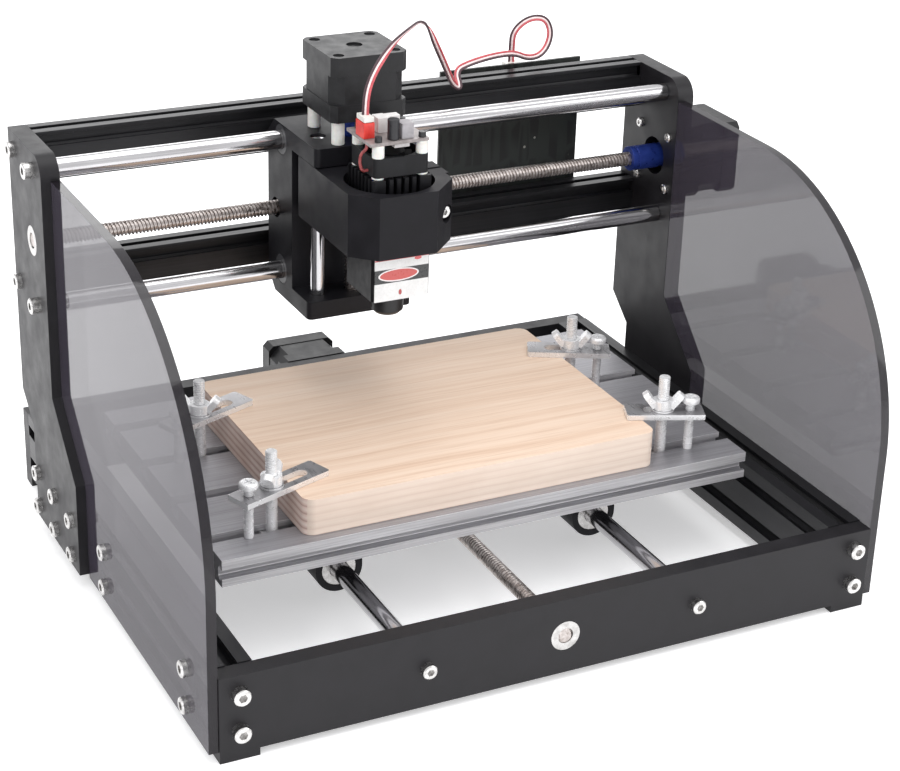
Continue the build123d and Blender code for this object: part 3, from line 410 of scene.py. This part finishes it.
# ---- the laser's lead --------------------------------------------------------------------
LEAD_WIDTH = 0.0036
CORE = 0.0006                 # radius of one of the flat lead's three cores
TOOL_ROUTE = [
    (-0.0555, -0.0155, 0.2486), (-0.0555, -0.0155, 0.2575), (-0.0510, -0.0125, 0.2665),
    (-0.0420, -0.0065, 0.2745), (-0.0290, 0.0040, 0.2802), (-0.0145, 0.0165, 0.2816)]
FRAME_ROUTE = [
    (-0.0145, 0.0165, 0.2816), (-0.00770, 0.02236, 0.28226), (0.0015, 0.0310, 0.2740),
    (0.0080, 0.0370, 0.2645), (0.0155, 0.0440, 0.2540), (0.0230, 0.0515, 0.2435),
    (0.0305, 0.0595, 0.2335), (0.0400, 0.0685, 0.2270), (0.0407, 0.0775, 0.2353),
    (0.0514, 0.0805, 0.2374), (0.0622, 0.0831, 0.2384), (0.0737, 0.0875, 0.2380),
    (0.0853, 0.0915, 0.2366), (0.0960, 0.0965, 0.2312), (0.1060, 0.1005, 0.2304),
    (0.1129, 0.1035, 0.2348), (0.1158, 0.1055, 0.2426), (0.1126, 0.1075, 0.2504),
    (0.1024, 0.1091, 0.2506), (0.0933, 0.1097, 0.2436), (0.0925, 0.1091, 0.2345),
    (0.0925, 0.1091, 0.2260)]
FACES = Vector((-0.41, -0.81, 0.42))   # where the lead's flat side faces, on the whole
SMOOTHING = 6                 # neighbours on each side that even out the lead's twist
CORE_FUSING = 1.04            # how far a core swells into its neighbours


def along_spline(route):
    """Points of a smooth NURBS spline through the route's control points."""
    curve = bpy.data.curves.new("route", "CURVE")
    curve.dimensions = "3D"
    curve.resolution_u = 10
    spline = curve.splines.new("NURBS")
    spline.points.add(len(route) - 1)
    for point, place in zip(spline.points, route):
        point.co = (*place, 1.0)
    spline.order_u = 3
    spline.use_endpoint_u = True
    holder = bpy.data.objects.new("route", curve)
    scene.collection.objects.link(holder)
    bpy.context.view_layer.update()
    mesh = bpy.data.meshes.new_from_object(holder)
    points = [v.co.copy() for v in mesh.vertices]
    bpy.data.objects.remove(holder)
    bpy.data.meshes.remove(mesh)
    return points


def new_piece(name, vertices, faces, materials, face_materials=None, smooth=True):
    mesh = bpy.data.meshes.new(name)
    mesh.from_pydata([tuple(v) for v in vertices], [], faces)
    for material in materials:
        mesh.materials.append(material)
    if face_materials:
        mesh.polygons.foreach_set("material_index", face_materials)
    if smooth:
        mesh.shade_smooth()
        mesh.set_sharp_from_angle(angle=math.radians(38))
    mesh.update()
    piece = bpy.data.objects.new(name, mesh)
    scene.collection.objects.link(piece)
    return piece


def smoothstep(low, high, value):
    share = min(max((value - low) / (high - low), 0.0), 1.0)
    return share * share * (3 - 2 * share)


def lying_frames(points, turns):
    """For each point its direction and a side vector across the flat lead.

    The flat side faces FACES, turned about the lead by the angle that turns gives for the share
    of the length.
    """
    ways, sides = [], []
    for i in range(len(points)):
        before, after = points[max(i - 1, 0)], points[min(i + 1, len(points) - 1)]
        ways.append((after - before).normalized())
        sides.append(FACES.cross(ways[-1]).normalized())
    found = []
    for i, way in enumerate(ways):
        reach = min(SMOOTHING, i, len(ways) - 1 - i)
        side = sum(sides[i - reach:i + reach + 1], Vector())
        side = (side - way * side.dot(way)).normalized()
        found.append((way, Matrix.Rotation(turns(i / (len(ways) - 1)), 3, way) @ side))
    return found


def flat_lead(name, points, turns, sides=10):
    """Three round cores side by side, fused into one flat lead."""
    vertices, faces, tones = [], [], []
    pitch = (LEAD_WIDTH - 2 * CORE) / 2
    frames = lying_frames(points, turns)
    for core in (-1, 0, 1):
        start = len(vertices)
        for point, (way, side) in zip(points, frames):
            up = way.cross(side)
            centre = point + side * pitch * core
            for k in range(sides):
                angle = math.tau * k / sides
                outward = side * math.cos(angle) + up * math.sin(angle)
                vertices.append(centre + outward * CORE * CORE_FUSING)
        for i in range(len(points) - 1):
            for k in range(sides):
                a, b = start + i * sides + k, start + i * sides + (k + 1) % sides
                faces.append((a, b, b + sides, a + sides))
                tones.append(core + 1)
        for end in (start, start + (len(points) - 1) * sides):
            cap = tuple(range(end, end + sides))
            faces.append(cap if end != start else cap[::-1])
            tones.append(core + 1)
    cores = [insulation("core red", (0.44, 0.060, 0.075), (0.60, 0.105, 0.120)),
             insulation("core pale", (0.80, 0.62, 0.62), (0.92, 0.78, 0.78)),
             insulation("core black", (0.040, 0.018, 0.024), (0.075, 0.030, 0.040))]
    return new_piece(name, vertices, faces, cores, tones)


def make_lead():
    """The lead twists by half a turn as it crosses its peak, half of that in each length."""
    quarter = math.pi / 2
    tool_line, frame_line = along_spline(TOOL_ROUTE), along_spline(FRAME_ROUTE)
    lead_tool = flat_lead("flat_lead_tool", tool_line,
                          lambda share: quarter * smoothstep(0.45, 1, share))
    lead_frame = flat_lead("flat_lead_frame", frame_line,
                           lambda share: quarter * (1 + smoothstep(0, 0.17, share)))
    plug_white = plain("plug white", (0.66, 0.65, 0.61), (0.80, 0.79, 0.75))
    for lead, node, line, plug in ((lead_tool, "laser_lead_tool", tool_line, "laser_plug"),
                                   (lead_frame, "laser_lead_frame", frame_line, "board_plug")):
        plug_piece = finished(plug, [plug_white], edge=0.3)
        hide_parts(node)
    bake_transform(lead_tool)
    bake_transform(lead_frame)


# ---- finished CAD nodes ------------------------------------------------------------------
WELD = 2e-6                         # corners this close are one
FLAT_ANGLE = math.radians(0.6)      # faces within it are merged
SHARP_ANGLE = math.radians(32)      # edges sharper than it are eased


def islands(mesh):
    """Connected solids of a bmesh, each as (faces, low corner, high corner)."""
    seen, found = set(), []
    for seed in mesh.faces:
        if seed in seen:
            continue
        stack, group = [seed], []
        seen.add(seed)
        while stack:
            face = stack.pop()
            group.append(face)
            for edge in face.edges:
                for other in edge.link_faces:
                    if other not in seen:
                        seen.add(other)
                        stack.append(other)
        corners = [v.co for face in group for v in face.verts]
        low = Vector(min(c[i] for c in corners) for i in range(3))
        high = Vector(max(c[i] for c in corners) for i in range(3))
        found.append((group, low, high))
    return found


def welded(node):
    """A bmesh of a CAD node, whose faces share their corners."""
    mesh = bmesh.new()
    mesh.from_mesh(frame["nodes"][node].data)
    bmesh.ops.remove_doubles(mesh, verts=mesh.verts, dist=WELD)
    return mesh


def finished(node, materials, edge=0.3, choose=lambda low, high: 0):
    """A copy of a CAD node with its edges eased, standing for the node.

    edge is the width of the eased edge in mm. choose gives each solid its material's number from
    its corners.
    """
    mesh = welded(node)
    for group, low, high in islands(mesh):
        number = choose(low, high)
        for face in group:
            face.material_index = number
    bmesh.ops.dissolve_limit(mesh, angle_limit=FLAT_ANGLE, verts=mesh.verts, edges=mesh.edges,
                             delimit={"MATERIAL"})
    if edge:
        sharp = [e for e in mesh.edges
                 if len(e.link_faces) == 2 and e.calc_face_angle() > SHARP_ANGLE]
        bmesh.ops.bevel(mesh, geom=sharp, offset=edge * MM, offset_type="OFFSET", segments=2,
                        profile=0.5, affect="EDGES", clamp_overlap=True, material=-1)
    data = bpy.data.meshes.new(node + "_finished")
    mesh.to_mesh(data)
    mesh.free()
    for attribute in ("custom_normal", "UVMap"):
        if attribute in data.attributes:
            data.attributes.remove(data.attributes[attribute])
    for material in materials:
        data.materials.append(material)
    data.shade_smooth()
    data.set_sharp_from_angle(angle=math.radians(34))
    piece = bpy.data.objects.new(node + "_finished", data)
    scene.collection.objects.link(piece)
    weighted = piece.modifiers.new("weighted", "WEIGHTED_NORMAL")
    weighted.keep_sharp = True
    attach(piece, frame["nodes"][node]["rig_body"])
    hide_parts(node)
    return piece


def narrower_than(width):
    """For finished(): material 1 for a solid narrower than width across the machine, 0 for others."""
    return lambda low, high: int(high.x - low.x < width)


def painted(node, material):
    """A CAD node shown as it is, with a better material."""
    data = frame["nodes"][node].data
    data.materials.clear()
    data.materials.append(material)


PLATE_BLACK = plate_black()
STEEL = bright_steel()
DULL_STEEL = bright_steel("ground steel", (0.42, 0.41, 0.40), (0.66, 0.65, 0.64))
MOULDING = moulding()
BRASS = turned_brass()
NYLON = nylon()
MOTOR = motor_paint()
BLUE = blue_anodised()
# the straps' flat tones are dark as a painted reflection of the dark gantry and plates; the third tone
# of each zinc is the painted highlight on the sides
STRAP_ZINC = zinc("strap zinc", (0.27, 0.265, 0.275), (0.44, 0.435, 0.45), (0.86, 0.86, 0.87),
                  0.55, (0.24, 0.34))
NUT_ZINC = zinc("bright zinc", (0.70, 0.70, 0.71), (0.86, 0.86, 0.87), (0.90, 0.90, 0.91),
                0.3, (0.22, 0.32))
FAN_PLASTIC = moulding("fan black", (0.010, 0.010, 0.011), (0.018, 0.018, 0.020))


def finish_frame():
    for node in ("front_plate", "rear_plate", "side_plate_left", "side_plate_right"):
        finished(node, [PLATE_BLACK], edge=0.5)
    finished("base_profiles", [profile_black("Y")], edge=0.25)
    finished("gantry_beams", [profile_black("X")], edge=0.25)
    smoke = smoked_acrylic()
    for side in ("left", "right"):
        finished("baffle_" + side, [smoke], edge=0.25)
    for axis in "XYZ":
        finished(axis.lower() + "_rods", [chrome(axis)], edge=0.5)
        finished(axis.lower() + "_motor", [MOTOR], edge=0.35)
    for node in ("frame_fasteners", "baffle_fasteners"):
        painted(node, STEEL)
    finished("screw_bearings", [DULL_STEEL], edge=0.3)


def finish_carriage():
    finished("carriage_block", [MOULDING], edge=0.6)
    finished("carriage_bushings",
             [plain("bushing", (0.03, 0.03, 0.034), (0.05, 0.05, 0.055))], edge=0.3)
    finished("x_nut", [BRASS], edge=0.3)
    finished("z_nut", [BRASS], edge=0.3)
    finished("motor_standoffs", [NYLON], edge=0.4)
    finished("tool_clamp", [MOULDING], edge=0.6)
    finished("clamp_screw", [STEEL], edge=0.15)
    finished("z_bushings",
             [plain("slide bushing", (0.03, 0.03, 0.034), (0.05, 0.05, 0.055))], edge=0.3)
    for axis in "xyz":
        finished(axis + "_coupling", [BLUE, DULL_STEEL], edge=0.3,
                 choose=lambda low, high: int(max(high - low) < 10 * MM))


def finish_laser():
    finished("laser_heatsink",
             [plain("black anodised", (0.006, 0.006, 0.007), (0.011, 0.011, 0.013), (0.36, 0.50),
                    Specular_IOR_Level=0.18)],
             edge=0.2)
    low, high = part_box("laser_faceplate")
    finished("laser_faceplate", [laser_label(low.z, (low.x + high.x) / 2)], edge=0)
    finished("lens_barrel",
             [plain("lens black", (0.008, 0.008, 0.009), (0.016, 0.016, 0.018), (0.30, 0.42))],
             edge=0.3)
    finished("fan_housing", [FAN_PLASTIC], edge=0.3)
    finished("fan_rotor", [FAN_PLASTIC], edge=0.15)
    finished("nylon_posts", [NYLON], edge=0.25)
    finished("driver_board",
             [plain("pale board", (0.20, 0.175, 0.17), (0.34, 0.305, 0.30), (0.28, 0.42))], edge=0.15)

    def kind(low, high):
        size = high - low
        if size.z > 0.0102 or size.x < 0.0045:
            return 1
        if size.x > 0.0125:
            return 4
        if size.y > 0.0095:
            return 0
        return 2 if size.z > 0.003 else 3

    finished("driver_parts",
             [plain("socket red", (0.62, 0.030, 0.024), (0.82, 0.075, 0.055), (0.30, 0.42)),
              plain("capacitor black", (0.010, 0.010, 0.012), (0.022, 0.022, 0.026), (0.25, 0.4)),
              plain("inductor grey", (0.26, 0.25, 0.26), (0.38, 0.36, 0.38), (0.35, 0.5)),
              plain("part grey", (0.42, 0.40, 0.40), (0.56, 0.54, 0.54)),
              plain("connector white", (0.74, 0.72, 0.71), (0.86, 0.84, 0.83))],
             edge=0.3, choose=kind)
    painted("fan_lead", insulation("fan lead red", (0.20, 0.030, 0.032), (0.42, 0.090, 0.090)))


def finish_bed():
    finished("bed_table", [bed_aluminium()], edge=0.3)
    finished("bed_bearings", [MOULDING, DULL_STEEL], edge=0.3,
             choose=narrower_than(20 * MM))
    finished("y_nut_block", [MOULDING, BRASS], edge=0.3,
             choose=narrower_than(25 * MM))
    finished("workpiece_board", [timber()], edge=0.4)


def finish_board():
    finished("control_board",
             [board_mask("board black", (0.020, 0.021, 0.0205), (0.030, 0.034, 0.032))], edge=0)

    def kind(low, high):
        size = high - low
        if abs(size.x - 0.012) < 3e-4 and abs(size.y - 0.009) < 3e-4:
            return 0
        if size.x > 0.025:
            return 1
        return 2

    finished("board_parts",
             [plain("sink aluminium", (0.42, 0.42, 0.43), (0.60, 0.60, 0.61), (0.3, 0.45), 0.9),
              plain("terminal green", (0.012, 0.13, 0.055), (0.020, 0.19, 0.080)),
              plain("part black", (0.012, 0.012, 0.014), (0.024, 0.024, 0.027))],
             edge=0.25, choose=kind)
    finished("board_standoffs", [NYLON], edge=0.25)
    finished("power_button",
             [plain("button red", (0.42, 0.020, 0.016), (0.55, 0.035, 0.028), (0.3, 0.4))], edge=0.4)


# ---- threads -----------------------------------------------------------------------------
def thread(name, start, along, length, crest, root, pitch, starts, material, steps=24):
    """Screw thread cut to length: crest and root radii and pitch in metres, and the starts.

    steps is the number of points round a turn.
    """
    lead = pitch * starts
    flat = 0.3                # share of the pitch at the root, and at the crest
    profile = []
    for s in range(starts):
        rise = (1 - 2 * flat) / 2
        for share, radius in ((0, root), (flat, root), (flat + rise, crest), (2 * flat + rise, crest)):
            profile.append((pitch * (s + share), radius))
    turns = math.ceil(length / lead) + 2
    rows = turns * steps
    vertices, faces = [], []
    for i in range(rows + 1):
        angle = math.tau * i / steps
        for dz, radius in profile:
            z = lead * (i / steps - 1) + dz
            vertices.append(Vector((radius * math.cos(angle), radius * math.sin(angle), z)))
    count = len(profile)
    for i in range(rows):
        for k in range(count):
            a = i * count + k
            if k < count - 1:
                faces.append((a, a + count, a + count + 1, a + 1))
            elif i + 1 + steps <= rows:
                upper = (i + steps) * count
                faces.append((a, a + count, upper + count, upper))
    mesh = bmesh.new()
    made = [mesh.verts.new(v) for v in vertices]
    for face in faces:
        mesh.faces.new([made[i] for i in face])
    bmesh.ops.remove_doubles(mesh, verts=mesh.verts, dist=1e-7)
    for height, upward in ((0.0, -1), (length, 1)):
        cut = bmesh.ops.bisect_plane(
            mesh, geom=mesh.verts[:] + mesh.edges[:] + mesh.faces[:], dist=1e-8,
            plane_co=(0, 0, height), plane_no=(0, 0, upward), clear_outer=True)
        rim = [g for g in cut["geom_cut"] if isinstance(g, bmesh.types.BMEdge)]
        bmesh.ops.contextual_create(mesh, geom=rim)
    bmesh.ops.recalc_face_normals(mesh, faces=mesh.faces)
    turn = Vector((0, 0, 1)).rotation_difference(Vector(along)).to_matrix().to_4x4()
    mesh.transform(Matrix.Translation(start) @ turn)
    data = bpy.data.meshes.new(name)
    mesh.to_mesh(data)
    mesh.free()
    data.materials.append(material)
    data.shade_smooth()
    data.set_sharp_from_angle(angle=math.radians(30))
    piece = bpy.data.objects.new(name, data)
    scene.collection.objects.link(piece)
    return piece


def lead_screws():
    """Two-start trapezoidal thread: 2 mm pitch, 4 mm of travel a turn."""
    steel = screw_steel()
    for axis, along in (("x", (1, 0, 0)), ("y", (0, 1, 0)), ("z", (0, 0, 1))):
        node = axis + "_lead_screw"
        low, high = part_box(node)
        middle = (low + high) / 2
        direction = Vector(along)
        start = middle - direction * (high - low).dot(direction) / 2
        screw = thread(axis + "_screw_thread", start, direction, (high - low).dot(direction),
                       4 * MM, 3.2 * MM, 2 * MM, 2, steel)
        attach(screw, axis + "_screw")
        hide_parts(node)


STATIONS = ("front_left", "back_left", "front_right", "back_right")
BOLT_RADIUS, SUPPORT_RADIUS, SUPPORT_HEAD = 3 * MM, 2.5 * MM, 3.3 * MM
SHANK_INSET, THREAD_DEPTH = 0.5 * MM, 0.4 * MM


def is_screw(low, high):
    """Whether a hold-down's solid is its T-bolt or its support screw, not its strap or washer."""
    return high.z - low.z > 0.02


def slimmed(piece, centre, radius, root, low_z):
    """Draws a shank in to its thread's root, so that the thread itself can be a separate mesh."""
    for vertex in piece.data.vertices:
        away = Vector((vertex.co.x - centre.x, vertex.co.y - centre.y))
        if abs(away.length - radius) < 0.12 * MM and vertex.co.z > low_z:
            vertex.co.xy = centre.xy + away * (root / away.length)


def hold_downs():
    """Straps and washers from the CAD, with real threads on the T-bolt and the support screw."""
    bed_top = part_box("bed_table")[1].z
    for station in STATIONS:
        body = "clamp_" + station
        piece = finished(body, [STRAP_ZINC, NUT_ZINC], edge=0.3,
                         choose=lambda low, high: int(is_screw(low, high)))
        mesh = welded(body)
        tall = sorted(((low, high) for group, low, high in islands(mesh) if is_screw(low, high)),
                      key=lambda solid: solid[1].z)
        mesh.free()
        (support_low, support_high), (bolt_low, bolt_high) = tall
        support, bolt = (support_low + support_high) / 2, (bolt_low + bolt_high) / 2
        for name, centre, radius, pitch, low_z, high_z in (
                ("bolt", bolt, BOLT_RADIUS, 1.25 * MM, bolt_low.z + 4 * MM, bolt_high.z - 0.2 * MM),
                ("support", support, SUPPORT_RADIUS, 1 * MM, bed_top + 0.3 * MM,
                 support_high.z - SUPPORT_HEAD)):
            slimmed(piece, centre, radius, radius - SHANK_INSET, low_z)
            made = thread(f"{name}_thread_{station}", Vector((centre.x, centre.y, low_z)), (0, 0, 1),
                          high_z - low_z, radius, radius - THREAD_DEPTH, pitch, 1, NUT_ZINC,
                          steps=20)
            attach(made, body)
        finished("wing_nut_" + station, [NUT_ZINC], edge=0.5)


# ---- small pieces ------------------------------------------------------------------------
def lens_knob():
    """Small lock screw on the side of the lens barrel, turned about X from its outline."""
    low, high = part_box("lens_barrel")
    centre = (low + high) / 2
    reach = (high.x - low.x) / 2
    vertices, faces = [], []
    outline = [(reach - 0.0010, 0.0), (reach - 0.0010, 0.0011), (reach + 0.0012, 0.0011),
               (reach + 0.0016, 0.0018), (reach + 0.0038, 0.0018), (reach + 0.0042, 0.0013),
               (reach + 0.0042, 0.0)]
    sides, height, grip_radius = 18, low.z + 10 * MM, 1.5 * MM
    for distance, radius in outline:
        for k in range(sides):
            angle = math.tau * k / sides
            grip = 0.94 if (k % 2 and radius > grip_radius) else 1.0
            vertices.append((centre.x + distance, centre.y + radius * grip * math.cos(angle),
                             height + radius * grip * math.sin(angle)))
    for i in range(len(outline) - 1):
        for k in range(sides):
            a, b = i * sides + k, i * sides + (k + 1) % sides
            faces.append((a, b, b + sides, a + sides))
    knob = new_piece("lens_lock_knob", vertices, faces,
                     [plain("knob black", (0.010, 0.010, 0.011), (0.020, 0.020, 0.022))])
    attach(knob, "lens")


finish_frame()
finish_carriage()
finish_laser()
finish_bed()
finish_board()
make_lead()
lead_screws()
hold_downs()
lens_knob()


# ---- floor and light ---------------------------------------------------------------------
def make_floor():
    vertices = [(-4, -4, 0), (4, -4, 0), (4, 4, 0), (-4, 4, 0)]
    paint = Paint("floor", (0.90, 0.90, 0.905), 0.7, Emission_Color=(1.0, 1.0, 1.0),
                  Emission_Strength=0.4)
    floor = new_piece("floor", vertices, [(0, 1, 2, 3)], [paint.material], smooth=False)


def softbox(name, place, aim, size, power):
    data = bpy.data.lights.new(name, "AREA")
    data.shape = "RECTANGLE"
    data.size, data.size_y = size
    data.energy = power
    light = bpy.data.objects.new(name, data)
    scene.collection.objects.link(light)
    back = (Vector(place) - Vector(aim)).normalized()
    light.matrix_world = Matrix.Translation(place) @ back.to_track_quat("Z", "Y").to_matrix().to_4x4()


def make_light():
    world = bpy.data.worlds.new("studio")
    world.use_nodes = True
    background = world.node_tree.nodes["Background"]
    background.inputs["Color"].default_value = (0.99, 0.99, 1.0, 1.0)
    background.inputs["Strength"].default_value = 1.0
    scene.world = world
    aim = (0, 0, 0.1)
    softbox("overhead", (0.1, -0.1, 1.5), aim, (1.3, 1.1), 9)
    softbox("left", (-1.3, -0.5, 0.9), aim, (0.8, 1.2), 6)
    softbox("right", (1.1, -0.9, 0.8), aim, (0.7, 1.0), 5)
    softbox("behind", (0.3, 1.5, 0.9), aim, (1.4, 0.6), 5)


make_floor()
make_light()
